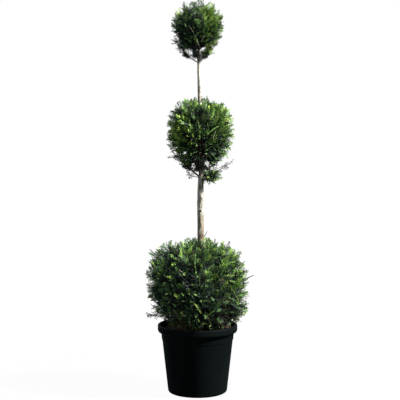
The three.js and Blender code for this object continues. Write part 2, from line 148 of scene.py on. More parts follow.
# Clipped balls. Each outline is a squared-off ellipsoid: its half width, its reach up and down from
# its widest height, how square it is above and below that height, and how far it leans to +X below it.
BALLS = {
    "bottom": {
        "centre": np.array([-4.0, -3.0, 488]), "wide": 239, "up": 213, "down": 196,
        "upper_power": 2.45, "lower_power": 2.6, "lean": 0.16,
        "limbs": 34, "limb_thick": 5.0, "lowest_limb": 318, "limb_sprays": 26, "shoot_sprays": 7,
        "tufts": 230, "plume": 74, "thin_below": -1, "seed": 11,
    },
    "middle": {
        "centre": np.array([11.0, 0, 1188]), "wide": 157, "up": 144, "down": 222,
        "upper_power": 2.2, "lower_power": 1.75, "lean": 0.0,
        "limbs": 22, "limb_thick": 3.8, "lowest_limb": 1000, "limb_sprays": 14, "shoot_sprays": 5,
        "tufts": 158, "plume": 70, "thin_below": -0.7, "seed": 23,
    },
    "top": {
        "centre": np.array([1.0, 0, 1630]), "wide": 119, "up": 135, "down": 152,
        "upper_power": 2.5, "lower_power": 1.5, "lean": 0.0,
        "limbs": 18, "limb_thick": 2.6, "lowest_limb": 1500, "limb_sprays": 16, "shoot_sprays": 5,
        "tufts": 94, "plume": 65, "thin_below": -0.9, "seed": 37,
    },
}
OUTLINE_LUMP = 0.02
OUTLINE_WAVES = 5
OUTLINE_LIMITS = (0.955, 1.035)
CLUMP_LIMITS = (1.2, 1.3)
PLUME_LIMIT_SPREAD = 0.008
BALL_TONE = 0.5
FRONT_START = 1.2
FRONT_HALVINGS = 16
OVER_SOIL = 8
OVER_RIM = 4
RIM_SIDE = 12
LIMB_REACH = 0.6
LIMB_CLIMB = 0.75
LIMB_TAPER = 0.4
LIMB_STEPS = 7
LIMB_SIDES = 6
LIMB_SCATTER = 0.12
LIMB_SAG = 0.12
LIMB_WANDER = 0.05

# A shoot runs from a limb to each tuft, a fan of plumes, and a plume is a flat row of fine sprays.
# Coarser old sprays on the limbs and shoots fill the shaded inside.
TUFT_SCATTER = 0.1
TUFT_RISE = 0.55
TUFT_THINNED = 0.4
TUFT_TONE = 0.26
TUFT_TONE_LENGTH = 60
TUFT_TONE_SPREAD = 0.05
PLUMES = 7
PLUME_OPEN = math.radians(64)
PLUME_FIRST = 0.3
PLUMES_FROM = 0.6
PLUME_TONE_SPREAD = 0.09
PLUME_FACE_SPREAD = 0.2
TURN_SPREAD = 0.3
PLUME_LENGTHS = (0.7, 1.1)
PLUME_BEND = 0.09
PLUME_STEPS = 4
PLUME_SPRAYS = 7
PLUME_SPRAYS_SPAN = (0.16, 0.82)
PLUME_TIP_FROM = 0.72
PLUME_TIP = 0.32
SPRAY_LONG = 0.38
SPRAY_SHRINK = 0.25
SPRAY_LEAN = (0.6, 0.32)
SPRAY_LEANS = (0.8, 1.2)
SPRAY_LENGTHS = (0.7, 1.2)
SPRAY_TONE_SPREAD = 0.03
# Sprays are lighter towards a plume's tip and darker towards its base: partly new growth, partly painted
# light and shade.
TIP_TONE = 0.5
TIP_TONE_FROM = 0.6
SPRAY_OVERHANG = 0.012
SPRAY_LEAST = 0.3
SPRAY_FACE_OUT = 0.7
SPRAY_FACE_SPREAD = 0.6
TWIG_THICK = 1.0
SHOOT_STEPS = 5
SHOOT_DROP = 0.3
SHOOT_CURVE = 0.4
SHOOT_THICK = 1.8
SHOOT_THIN = 0.5
SHOOT_SIDES = 3
OLD_SPRAYS_SPAN = (0.1, 0.95)
OLD_SPRAY_LEAN = (1.3, 0.9)
TWIG_LEANS = (0.75, 1.25)
OLD_SPRAY_SIZE = 0.62
# Old sprays take only the deep and dark tints: partly old foliage, partly painted shade of the inside.
OLD_SPRAY_TONES = (0, 0.3)
OLD_SPRAY_DRY = 0.06
CLIP_LEAST = 0.4

# Dead sprays lie low on the bottom ball, over the pot: their full share, the height that they start
# below, and the drop to their full share.
DRY_SHARE = 0.35
DRY_BELOW = 400
DRY_FADE = 70

# A spray is flat: a stem of two leaves, and side branchlets by turns. Shares of its length.
SPRAY_KINDS = {
    "fine": {
        "shapes": 6, "branchlets": 4, "span": (0.09, 0.66), "long": 0.58, "shrink": 0.3,
        "lean": (0.43, 0.26), "lift": 0.12, "half_width": 0.064, "droop": 0.1, "seed": 7,
    },
    "old": {
        "shapes": 3, "branchlets": 5, "span": (0.1, 0.7), "long": 0.6, "shrink": 0.35,
        "lean": (0.8, 0.5), "lift": 0.35, "half_width": 0.075, "droop": 0.2, "seed": 8,
    },
}
SPRAY_CURL = 0.05
STEM_ROOTS = (0, 0.5)
STEM_TIPS = (0.6, 1)
STEM_WIDTHS = (0.6, 1)
BRANCHLET_LENGTHS = (0.8, 1.15)
BRANCHLET_WIDTHS = (0.85, 1.1)
LEAF_KEEL = 0.35
LEAF_WIDEST = 0.7
LEAF_ROUGHNESS = 0.55
LEAF_SPECULAR = 0.15

# Base colours of the sprays, from the shaded inside to the new growth, and of dry ones.
# The deep and dark tints are near black and cooled towards blue as painted shade; the bright one is
# partly painted light.
TINTS = {
    "deep": (0.012, 0.021, 0.018),
    "dark": (0.028, 0.054, 0.032),
    "mid": (0.072, 0.144, 0.047),
    "fresh": (0.138, 0.254, 0.050),
    "bright": (0.260, 0.375, 0.070),
    "dry": (0.065, 0.047, 0.026),
}
GREENS = ["deep", "dark", "mid", "fresh", "bright"]

# Boughs in the open underside of a ball, with the foliage of each under a roof that slopes up.
# The tones of the clumps are partly painted light and shade: two clumps that the ball above shades are
# made light, and the rest are kept dark as the shaded underside.
UNDERSIDES = {
    "middle": {
        "leaves": 966, "thick": 4.4, "out": [60, 48, 40, 48, 48],
        "rise": [48, 42, 4, 42, 38], "stem": [56, 50, 26, 50, 50], "stem_lift": [0, 0, 0, 0, 0],
        "roofs": [1006, 1012, 1008, 1008, 1012], "roof_slope": 0.2,
        "tufts": [7, 6, 11, 6, 6], "plume": 46, "tones": [0.34, 0.34, 0.52, 0.34, 0.34], "seed": 41,
    },
    "top": {
        "leaves": 1480, "thick": 2.8, "out": [58, 34, 46, 34, 34],
        "rise": [36, 30, 36, 30, 28], "stem": [64, 36, 38, 36, 36], "stem_lift": [0.55, 0, 0, 0, 0],
        "roofs": [1532, 1538, 1556, 1550, 1538], "roof_slope": 0.1,
        "tufts": [9, 6, 8, 6, 6], "plume": 30, "tones": [0.2, 0.25, 1.0, 0.3, 0.3], "seed": 53,
    },
}
BOUGHS = 5
BOUGH_PHASE = 180
BOUGH_TIERS = 3
BOUGH_STAGGER = 4
BOUGH_TAPER = 0.55
BOUGH_ARCH = -0.05
BOUGH_SIDES = 12
BOUGH_STEPS = 14
CLUMP_FROM = 0.5
CLUMP_SPRAYS = 6
CLUMP_LIFT = 1.6
CLUMP_DROOP = 0.5
CLUMP_ALONG = 0.6
CLUMP_ASIDE = (0.2, 0.8)
CLUMP_SHOOT = 0.2
STEM_STEPS = 4

# Long stray shoots that the shears missed: start, tip, thickness, number of sprays.
STRAYS = {
    "bottom": [
        ((120, 0, 470), (254, -2, 527), 3.8, 0),
        ((-110, 0, 545), (-216, 0, 644), 3.8, 0),
        ((-95, -18, 340), (-214, -22, 349), 3.0, 14),
        ((16, 0, 680), (44, -6, 726), 2.4, 0),
        ((60, -10, 620), (76, -12, 684), 2.2, 0),
        ((-4, -20, 640), (-12, -24, 680), 2.4, 8),
    ],
    "middle": [
        ((56, -28, 996), (146, -24, 1032), 1.5, 9),
        ((60, -28, 988), (118, -24, 1012), 1.4, 7),
        ((12, -6, 968), (-36, -10, 978), 2.2, 7),
    ],
    "top": [],
}
STRAY_TAPER = 0.5
STRAY_SPRAY = 24
STRAY_SPRAYS_SPAN = (0.5, 1)
STRAY_SAG = 4
STRAY_TONE = 0.3
STRAY_SEED = 3

# Single shoots on the front of a ball, x and z of their ends and their tint. The bare ones have none.
SHOWN = {
    "bottom": [
        ((112, 528), (176, 440), "bright"),
        ((-24, 442), (12, 396), "bright"),
        ((-22, 655), (-6, 566), "fresh"),
        ((130, 524), (165, 512), "fresh"),
        ((40, 372), (66, 396), "fresh"),
        ((-106, 402), (-76, 350), None),
        ((-80, 576), (-52, 552), None),
    ],
    "middle": [
        ((3, 1208), (9, 1142), "fresh"),
        ((54, 1210), (68, 1238), "fresh"),
        ((34, 1142), (86, 1188), "fresh"),
        ((68, 1134), (80, 1168), None),
    ],
    "top": [
        ((6, 1545), (-38, 1630), None),
        ((16, 1562), (33, 1588), None),
    ],
}
SHOWN_SUNK = 9
SHOWN_BOW = 0.12
SHOWN_THICK = 0.75
SHOWN_SPRAYS = 24
SHOWN_SPRAY = 9
SHOWN_SPRAYS_SPAN = (0.15, 1)
SHOWN_LEAN = (0.32, 0.16)

# Patches of a ball's foliage made lighter or darker, partly by new growth and partly as painted light
# and shade where the foliage is lit or shaded: middle, radius, tone.
GROWTH_AND_PAINTED_LIGHT_PATCHES = {
    "bottom": [
        ((60, -150, 640), 60, 0.1), ((190, -60, 520), 80, 0.1), ((-105, -185, 580), 60, 0.12),
        ((-170, -90, 400), 90, -0.1), ((20, -220, 430), 90, -0.2), ((170, -90, 370), 80, -0.3),
        ((-140, -60, 640), 70, -0.25), ((-60, -190, 350), 60, 0.12),
    ],
    "middle": [
        ((-40, -90, 1290), 40, 0.1), ((60, -60, 1300), 60, 0.2), ((140, -40, 1230), 50, 0.3),
        ((20, -120, 1250), 34, -0.2), ((0, -110, 1085), 70, -0.15), ((70, -50, 1060), 60, -0.3),
        ((-90, -95, 1170), 60, 0.5), ((-90, -30, 1290), 50, -0.3),
    ],
    "top": [
        ((51, -80, 1676), 52, 0.7), ((-74, -40, 1695), 30, 0.3),
        ((-60, -60, 1590), 70, -0.3), ((10, -100, 1640), 40, -0.15), ((0, -50, 1745), 60, -0.4),
    ],
}

# Hollows in the clipped surface, where a tuft is missing: middle, radius.
HOLLOWS = {
    "bottom": [((-106, -190, 570), 44), ((-30, -226, 560), 24)],
    "middle": [((-62, -118, 1160), 20), ((-84, -84, 1270), 20), ((-20, -140, 1120), 22)],
    "top": [((-60, -70, 1600), 22)],
}

# Openings right through a ball, where the sky shows: x, z, radius.
OPENINGS = {
    "bottom": [(31, 400, 7), (112, 420, 7)],
    "middle": [
        (-83, 1278, 6), (-25, 1134, 6), (-57, 1078, 7), (-99, 1078, 5), (-17, 1050, 7),
        (-16, 1020, 10), (43, 1028, 11), (56, 1012, 8),
    ],
    "top": [(-38, 1529, 13), (22, 1546, 10), (-88, 1591, 4), (-52, 1574, 4)],
}

# Heights where the trunk shows through the front of a ball, and half the width that is open there.
PARTINGS = {
    "bottom": [],
    "middle": [(1020, 1140, 20), (1290, 1350, 12)],
    "top": [(1480, 1560, 9)],
}
PARTING_BARE = 0.85

# Camera, in metres, at the height and distance that the pot's ellipses and the plant's outline give.
CAMERA_PLACE = (0.011, -3.8, 1.0)
CAMERA_AIM = (0.011, 0, 0.866)
CAMERA_LENS = 76.0

# Pale floor, in metres: it glows a little less near the pot than far off, so that it has no horizon.
FLOOR_HALF = 30.0
FLOOR_GLOW_FROM = (1.0, 3.5)
FLOOR_GLOW = (0.97, 1.0)
FLOOR_SHADE = (0.008, 0.008, 0.008)
FLOOR_ROUGHNESS = 0.9

# Soft lights, in metres and watts: place, aim, width, power, colour. The studio adds an even glow.
LIGHTS = {
    "key": ((7.6, -2.0, 7.1), (0, 0, 0.95), 0.7, 5700, (1.0, 0.98, 0.94)),
    "fill": ((-3.0, -4.0, 2.2), (0, 0, 0.8), 2.5, 60, (0.9, 0.95, 1.0)),
    "back": ((-4.0, 3.5, 3.0), (0, 0, 0.9), 2.5, 150, (0.92, 0.97, 1.0)),
}
GLOW_COLOUR = (0.8, 0.9, 1.0, 1)
GLOW_STRENGTH = 0.28
WHITE = (1, 1, 1, 1)

# Looks of the pot and the soil: colours from the dark to the light of a noise, range of surface
# roughness, strength and depth of the bump.
POT_SHADES = [(0.35, (0.0012, 0.0022, 0.0022)), (0.75, (0.0022, 0.0034, 0.0034))]
POT_ROUGHNESS = (0.5, 0.7)
POT_BUMP = (0.25, 0.4)
SOIL_SHADES = [(0.3, (0.005, 0.004, 0.003)), (0.7, (0.035, 0.025, 0.016))]
SOIL_ROUGHNESS = (0.8, 1.0)
SOIL_BUMP = (0.8, 2.0)

# Looks of plain wood: material, specular, noise (scale, detail, roughness), range of surface roughness,
# strength and depth of the bump, dark and light colour.
WOODS = {
    "chips": ("bark_chips", 0.25, (160, 5, 0.6), (0.75, 0.95), (0.5, 0.8),
              (0.016, 0.010, 0.006), (0.075, 0.050, 0.030)),
    # The boughs' bark is far darker than the trunk's: partly painted shade of the undersides they stand
    # in.
    "boughs": ("bough_bark", 0.25, (160, 5, 0.6), (0.75, 0.95), (0.5, 0.5),
               (0.018, 0.013, 0.009), (0.085, 0.068, 0.048)),
    "twigs": ("twig_bark", 0.25, (120, 4, 0.55), (0.7, 0.9), (0.3, 0.3),
              (0.020, 0.014, 0.009), (0.070, 0.050, 0.030)),
    "bare_twigs": ("bare_twig", 0.25, (160, 4, 0.55), (0.7, 0.9), (0.3, 0.3),
                   (0.22, 0.20, 0.13), (0.46, 0.43, 0.31)),
    # The scars' near-black colour is partly painted shadow under the knots.
    "scars": ("pruning_scar", 0.2, (300, 4, 0.55), (0.8, 1.0), (0.5, 0.5),
              (0.004, 0.003, 0.002), (0.022, 0.015, 0.009)),
}

# Bark of the trunk: colours from the dark to the light fibres, grey above and brown below a height in
# metres where they mingle, and stains that darken both.
TRUNK_GREYS = [(0.3, (0.10, 0.095, 0.08)), (0.5, (0.30, 0.29, 0.25)), (0.72, (0.50, 0.49, 0.44))]
TRUNK_BROWNS = [(0.3, (0.045, 0.031, 0.016)), (0.5, (0.135, 0.102, 0.060)), (0.72, (0.28, 0.24, 0.165))]
TRUNK_STAINS = [(0.38, (0.35, 0.33, 0.30)), (0.52, (1.0, 1.0, 1.0))]
BROWN_BELOW = (0.84, 0.79)
BROWN_SHIFT = (-0.18, 0.18)
TRUNK_ROUGHNESS = (0.75, 0.95)
TRUNK_BUMP = (0.6, 0.7)

# The range that most values of a noise lie in, and the sockets of a mix of colours.
NOISE_RANGE = (0.3, 0.7)
MIX_SHARE, MIX_FIRST, MIX_SECOND, MIX_RESULT = 0, 6, 7, 2


# Vectors


def unit(vectors):
    return vectors / np.maximum(norm(vectors, axis=-1, keepdims=True), TINY)


def square_to(vectors, axes):
    """The part of each vector that stands square to its unit axis, made a unit vector."""
    return unit(vectors - np.sum(vectors * axes, axis=-1, keepdims=True) * axes)


def bearing_of(degrees):
    angle = math.radians(degrees)
    return np.array([math.cos(angle), math.sin(angle), 0.0])


def bezier(start, bend, end, steps):
    t = np.linspace(0, 1, steps + 1)[:, None]
    return (1 - t) ** 2 * start + 2 * t * (1 - t) * bend + t**2 * end


def circle(sides):
    """Unit vectors all round, square to the Z axis."""
    angles = np.arange(sides) * TURN / sides
    return np.stack([np.cos(angles), np.sin(angles), np.zeros(sides)], 1)


# Meshes


class Heap:
    """Triangles of many shapes, to be joined into one mesh."""

    def __init__(self):
        self.points = []
        self.faces = []
        self.count = 0

    def add(self, points, faces):
        self.points.append(points)
        self.faces.append(faces + self.count)
        self.count += len(points)

    def add_limb(self, path, first, last, sides):
        """A limb along a path, tapered from its first radius to its last."""
        self.add(*tube(path, np.linspace(first, last, len(path)), sides))


def added(name, data):
    obj = bpy.data.objects.new(name, data)
    bpy.context.scene.collection.objects.link(obj)
    return obj


def piece(name, points, faces, look, smooth=True):
    mesh = bpy.data.meshes.new(name)
    mesh.from_pydata((points * MM).tolist(), [], faces.tolist(), shade_flat=not smooth)
    mesh.materials.append(LOOKS[look])
    obj = added(name, mesh)
    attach(obj, "root")
    return obj


def heap_piece(name, heap, look, slot, smooth=True):
    return piece(name, np.concatenate(heap.points), np.concatenate(heap.faces), look, smooth)


def grid_faces(rows, columns):
    """Triangles between rings of points, each ring closed on itself."""
    row, column = np.meshgrid(np.arange(rows - 1), np.arange(columns), indexing="ij")
    a = (row * columns + column).ravel()
    b = (row * columns + (column + 1) % columns).ravel()
    c, d = a + columns, b + columns
    return np.concatenate([np.stack([a, b, d], 1), np.stack([a, d, c], 1)])


def capped(rings):
    """Points and triangles of a closed limb, from rings of points along it."""
    rows, columns = rings.shape[:2]
    points = rings.reshape(-1, 3)
    first, last = len(points), len(points) + 1
    ends = np.stack([rings[0].mean(0), rings[-1].mean(0)])
    column = np.arange(columns)
    after = (column + 1) % columns
    top = (rows - 1) * columns
    foot_cap = np.stack([np.full(columns, first), after, column], 1)
    top_cap = np.stack([np.full(columns, last), top + column, top + after], 1)
    faces = np.concatenate([grid_faces(rows, columns), foot_cap, top_cap])
    return np.concatenate([points, ends]), faces


def repeated(points, faces):
    """Points and triangles of many copies of a shape, from the points of each copy."""
    starts = points.shape[1] * np.arange(len(points))
    return points.reshape(-1, 3), (starts[:, None, None] + faces).reshape(-1, 3)


def tube(path, radii, sides):
    along = unit(np.gradient(path, axis=0))
    steep = abs(unit(path[-1] - path[0])[2]) > STEEP
    across = square_to(RIGHT if steep else UP, along)
    other = np.cross(along, across)
    x, y = circle(sides).T[:2, :, None]
    ring = x * across[:, None] + y * other[:, None]
    return capped(path[:, None] + np.asarray(radii)[:, None, None] * ring)


# Materials


def fill(tree, made, inputs):
    """Sets the inputs of a node, or links them to what other nodes give."""
    for name, value in inputs.items():
        if isinstance(value, bpy.types.NodeSocket):
            tree.links.new(value, made.inputs[name])
        else:
            made.inputs[name].default_value = value


def node(tree, kind, inputs=None, **settings):
    made = tree.nodes.new(kind)
    for name, value in settings.items():
        setattr(made, name, value)
    fill(tree, made, inputs or {})
    return made


def plain_material(name, colour, roughness, specular):
    material = bpy.data.materials.new(name)
    material.use_nodes = True
    tree = material.node_tree
    look = {"Base Color": (*colour, 1), "Roughness": roughness, "Specular IOR Level": specular}
    fill(tree, tree.nodes["Principled BSDF"], look)
    return material


def ramp(tree, factor, stops):
    made = node(tree, "ShaderNodeValToRGB", {"Fac": factor})
    elements = made.color_ramp.elements
    while len(elements) < len(stops):
        elements.new(0.5)
    for element, (place, colour) in zip(elements, stops):
        element.position = place
        element.color = (*colour, 1)
    return made.outputs["Color"]


def noise_at(tree, place, scale, detail, roughness=0.55, stretch=(1, 1, 1)):
    mapped = node(tree, "ShaderNodeMapping", {"Vector": place, "Scale": stretch}).outputs["Vector"]
    inputs = {"Vector": mapped, "Scale": scale, "Detail": detail, "Roughness": roughness}
    return node(tree, "ShaderNodeTexNoise", inputs).outputs["Fac"]


def spread(tree, value, start, end):
    """A value carried over from the range start to the range end."""
    sockets = ("Value", "From Min", "From Max", "To Min", "To Max")
    inputs = dict(zip(sockets, (value, *start, *end)))
    return node(tree, "ShaderNodeMapRange", inputs).outputs["Result"]


def blended(tree, share, first, second, blend="MIX"):
    inputs = {MIX_SHARE: share, MIX_FIRST: first, MIX_SECOND: second}
    made = node(tree, "ShaderNodeMix", inputs, data_type="RGBA", blend_type=blend)
    return made.outputs[MIX_RESULT]


def textured_material(name, specular, build):
    """A material whose colour, roughness and bump height come from build(tree, place)."""
    material = plain_material(name, (0, 0, 0), 1.0, specular)
    tree = material.node_tree
    place = node(tree, "ShaderNodeTexCoord").outputs["Object"]
    colour, roughness, height, strength, depth = build(tree, place)
    bump = node(tree, "ShaderNodeBump", {"Height": height, "Strength": strength, "Distance": depth * MM})
    look = {"Base Color": colour, "Roughness": roughness, "Normal": bump.outputs["Normal"]}
    fill(tree, tree.nodes["Principled BSDF"], look)
    return material


def pot_plastic(tree, place):
    dust = noise_at(tree, place, scale=7, detail=6)
    scuffs = noise_at(tree, place, scale=34, detail=5, roughness=0.6, stretch=(1, 1, 0.35))
    grain = noise_at(tree, place, scale=420, detail=2)
    roughness = spread(tree, scuffs, NOISE_RANGE, POT_ROUGHNESS)
    return ramp(tree, dust, POT_SHADES), roughness, grain, *POT_BUMP


def damp_soil(tree, place):
    crumbs = noise_at(tree, place, scale=90, detail=8, roughness=0.7)
    grain = noise_at(tree, place, scale=260, detail=6)
    roughness = spread(tree, crumbs, NOISE_RANGE, SOIL_ROUGHNESS)
    return ramp(tree, crumbs, SOIL_SHADES), roughness, grain, *SOIL_BUMP


def trunk_bark(tree, place):
    fibres = noise_at(tree, place, scale=220, detail=6, roughness=0.62, stretch=(1, 1, 0.09))
    patches = noise_at(tree, place, scale=26, detail=4, stretch=(1, 1, 0.35))
    spots = noise_at(tree, place, scale=70, detail=3, roughness=0.6, stretch=(1, 1, 0.45))
    height = node(tree, "ShaderNodeSeparateXYZ", {"Vector": place}).outputs["Z"]
    low = spread(tree, height, BROWN_BELOW, BROWN_SHIFT)
    shift = node(tree, "ShaderNodeMath", {0: patches, 1: low}, operation="ADD").outputs["Value"]
    share = spread(tree, shift, NOISE_RANGE, (0, 1))
    colour = blended(tree, share, ramp(tree, fibres, TRUNK_GREYS), ramp(tree, fibres, TRUNK_BROWNS))
    colour = blended(tree, 1.0, colour, ramp(tree, spots, TRUNK_STAINS), "MULTIPLY")
    return colour, spread(tree, fibres, NOISE_RANGE, TRUNK_ROUGHNESS), fibres, *TRUNK_BUMP


def plain_wood(grain, roughness, bump, dark, light):
    """A look of wood whose fibres run from a dark to a light colour and stand out a little."""

    def build(tree, place):
        fibres = noise_at(tree, place, *grain)
        colour = ramp(tree, fibres, list(zip(NOISE_RANGE, (dark, light))))
        return colour, spread(tree, fibres, NOISE_RANGE, roughness), fibres, *bump

    return build


LOOKS = {
    "pot": textured_material("black_plastic", specular=0.02, build=pot_plastic),
    "soil": textured_material("damp_soil", specular=0.2, build=damp_soil),
    "bark": textured_material("trunk_bark", specular=0.25, build=trunk_bark),
}
for wood, (name, specular, *form) in WOODS.items():
    LOOKS[wood] = textured_material(name, specular, plain_wood(*form))
# The stray shoots take the boughs' dark bark, with its painted shade.
LOOKS["stray_shoots"] = LOOKS["boughs"]
for tint, shade in TINTS.items():
    LOOKS[tint] = plain_material(f"leaf_{tint}", shade, LEAF_ROUGHNESS, LEAF_SPECULAR)


# Pot


def turned(profile, sides):
    """Points and triangles of a profile of [radius, z] turned round the Z axis, from axis to axis."""
    inner = np.asarray(profile[1:-1], float)[:, :, None, None]
    points, faces = capped(inner[:, 0] * circle(sides) + inner[:, 1] * UP)
    points[-2] = profile[0][1] * UP
    points[-1] = profile[-1][1] * UP
    return points, faces


def rounded(corners):
    """A profile of [radius, z, rounding] with each corner turned into an arc."""
    corners = np.asarray(corners, float)
    profile = []
    for i, (radius, z, size) in enumerate(corners):
        corner = np.array([radius, z])
        if size == 0:
            profile.append(corner)
            continue
        before = corner + size * unit(corners[i - 1, :2] - corner)
        after = corner + size * unit(corners[i + 1, :2] - corner)
        profile.extend(bezier(before, corner, after, POT_CORNER_STEPS))
    return profile


def pot_wall_radius(z):
    share = (z - POT_HEEL) / (POT_STEP_HEIGHT - POT_HEEL)
    return POT_FOOT_RADIUS + share * (POT_STEP_RADIUS - POT_FOOT_RADIUS) - POT_WALL


def make_pot():
    rim_foot = POT_HEIGHT - POT_RIM_HEIGHT
    edge = POT_EDGE_ROUND
    foot_radius = POT_FOOT_RADIUS - POT_HEEL * (POT_STEP_RADIUS - POT_FOOT_RADIUS) / POT_STEP_HEIGHT
    profile = rounded([
        (0, 0, 0),
        (foot_radius, 0, POT_HEEL),
        (POT_STEP_RADIUS, POT_STEP_HEIGHT, edge),
        (POT_STEP_RADIUS + POT_STEP, POT_STEP_HEIGHT + POT_STEP, edge),
        (POT_COLLAR_RADIUS, rim_foot, edge),
        (POT_RIM_RADIUS - POT_STEP, rim_foot + POT_RIM_ROUND, edge * 2),
        (POT_RIM_RADIUS, rim_foot + 2 * POT_RIM_ROUND, edge * 2),
        (POT_RIM_RADIUS, POT_HEIGHT, POT_RIM_ROUND),
        (POT_COLLAR_RADIUS + POT_WALL, POT_HEIGHT, POT_WALL),
        (POT_COLLAR_RADIUS - POT_WALL, rim_foot, edge),
        (pot_wall_radius(POT_STEP_HEIGHT), POT_STEP_HEIGHT, edge),
        (pot_wall_radius(POT_HEEL), POT_FLOOR, POT_FLOOR),
        (0, POT_FLOOR, 0),
    ])
    points, faces = turned(profile, POT_SIDES)
    pot = piece("nursery_pot", points, faces[:, ::-1], "pot")
    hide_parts("pot")
    bore_drain_holes(pot)


def bore_drain_holes(pot):
    drills = Heap()
    half = np.array([0, 0, 2.0 * POT_FLOOR])
    for i in range(DRAIN_HOLES):
        middle = DRAIN_CIRCLE * bearing_of(360 * (i + 0.5) / DRAIN_HOLES)
        path = np.stack([middle - half, middle + half])
        drills.add_limb(path, DRAIN_RADIUS, DRAIN_RADIUS, DRAIN_SIDES)
    cutter = heap_piece("drain_drills", drills, "pot", "pot")
    cut = pot.modifiers.new("drain_holes", "BOOLEAN")
    cut.operation = "DIFFERENCE"
    cut.object = cutter
    graph = bpy.context.evaluated_depsgraph_get()
    bored = bpy.data.meshes.new_from_object(pot.evaluated_get(graph))
    pot.modifiers.clear()
    pot.data = bored
    bpy.data.objects.remove(cutter)


# Soil


def soil_lump(x, y):
    lump = noise.noise(Vector((x / SOIL_LUMP_LENGTH, y / SOIL_LUMP_LENGTH, 0)))
    crumb = noise.noise(Vector((x / SOIL_CRUMB_LENGTH, y / SOIL_CRUMB_LENGTH, SOIL_CRUMB_SLICE)))
    return SOIL_LUMP * lump + SOIL_CRUMB * crumb


def make_soil():
    rim = POT_HEIGHT - POT_RIM_HEIGHT
    top_radius = POT_COLLAR_RADIUS - POT_WALL - SOIL_GAP
    profile = [
        (0, POT_FLOOR + SOIL_GAP),
        (pot_wall_radius(POT_HEEL) - POT_FLOOR - SOIL_GAP, POT_FLOOR + SOIL_GAP),
        (pot_wall_radius(POT_HEEL) - SOIL_GAP, POT_HEEL + SOIL_GAP),
        (pot_wall_radius(POT_STEP_HEIGHT) - SOIL_GAP, POT_STEP_HEIGHT),
        (top_radius, rim),
    ]
    profile += [(top_radius * (1 - i / SOIL_RINGS), SOIL_TOP) for i in range(SOIL_RINGS + 1)]
    points, faces = turned(profile, SOIL_SIDES)
    surface = points[:, 2] >= SOIL_TOP
    points[surface, 2] += [soil_lump(x, y) for x, y, _ in points[surface]]
    soil = piece("potting_soil", points, faces[:, ::-1], "soil")
    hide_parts("soil")
    make_chips(top_radius - CHIP_EDGE)


def make_chips(reach):
    rng = np.random.default_rng(CHIP_SEED)
    foot = trunk_middle(TRUNK_FOOT)[:2]
    chips = Heap()
    while len(chips.points) < CHIPS:
        place = rng.uniform(-reach, reach, 2)
        if norm(place) > reach or norm(place - foot) < CHIP_CLEAR_OF_TRUNK:
            continue
        length = rng.uniform(*CHIP_LENGTH)
        aim = unit(rng.normal(size=3) * (1, 1, CHIP_TILT))
        middle = np.array([*place, SOIL_TOP + soil_lump(*place) + CHIP_LIFT])
        path = middle + np.linspace(-0.5, 0.5, len(CHIP_TAPER))[:, None] * length * aim
        path[1] += rng.normal(0, CHIP_BEND * length, 3)
        radii = length * rng.uniform(*CHIP_THICK) * CHIP_TAPER
        points, faces = tube(path, radii, CHIP_SIDES)
        points += rng.normal(0, CHIP_ROUGH * length, points.shape)
        chips.add(points, faces)
    heap_piece("soil_bark_chips", chips, "chips", "soil", smooth=False)


# Trunk


def trunk_middle(z):
    """The trunk's middle line at heights z, a smooth curve through its stations."""
    heights, places = TRUNK_STATIONS[:, 2], TRUNK_STATIONS[:, :2]
    slopes = np.gradient(places, heights, axis=0)
    z = np.atleast_1d(np.asarray(z, float))
    i = np.clip(np.searchsorted(heights, z) - 1, 0, len(heights) - 2)
    span = (heights[i + 1] - heights[i])[:, None]
    t = (z - heights[i])[:, None] / span
    flat = (
        (2 * t**3 - 3 * t**2 + 1) * places[i]
        + (t**3 - 2 * t**2 + t) * span * slopes[i]
        + (3 * t**2 - 2 * t**3) * places[i + 1]
        + (t**3 - t**2) * span * slopes[i + 1]
    )
    middle = np.column_stack([flat, z])
    return middle if len(middle) > 1 else middle[0]


def trunk_radius(z):
    return np.interp(z, TRUNK_STATIONS[:, 2], TRUNK_STATIONS[:, 3])


def knot_swelling(z, angle):
    """Swelling round each pruning scar, with a hollow in its middle."""
    swelling = np.zeros(np.broadcast(z, angle).shape)
    for height, bearing, swell, radius in KNOTS:
        rise = z - height
        turn = np.cos(angle - math.radians(bearing))
        arc = np.arccos(np.clip(turn, -1, 1)) * trunk_radius(z)
        lump = np.exp(-((rise / KNOT_HEIGHT) ** 2)) * np.maximum(0, turn)
        hollow = np.exp(-(arc**2 + rise**2) / radius**2)
        swelling += swell * (lump - KNOT_HOLLOW * hollow)
    return swelling


def bark_relief(points, fineness):
    """Height of the bark at points on a limb, as a share of its radius."""
    relief = np.empty(len(points))
    for i, (x, y, z) in enumerate(points):
        wander = FIBRE_WANDER * noise.noise(Vector((x, y, z)) * WANDER_FINENESS)
        along = Vector((x + wander, y + wander, z * FIBRE_STRETCH))
        fibre = abs(noise.noise(along * FIBRE_FINENESS * fineness))
        plate = noise.noise(Vector((x, y, z * PLATE_STRETCH)) * PLATE_FINENESS * fineness)
        edge = abs(noise.noise(Vector((x, y, z * CRACK_STRETCH)) * CRACK_FINENESS * fineness))
        crack = (1 - edge) ** CRACK_SHARPNESS
        relief[i] = FIBRE_DEPTH * (1 - 2 * fibre) + PLATE_DEPTH * plate - CRACK_DEPTH * crack
    return relief


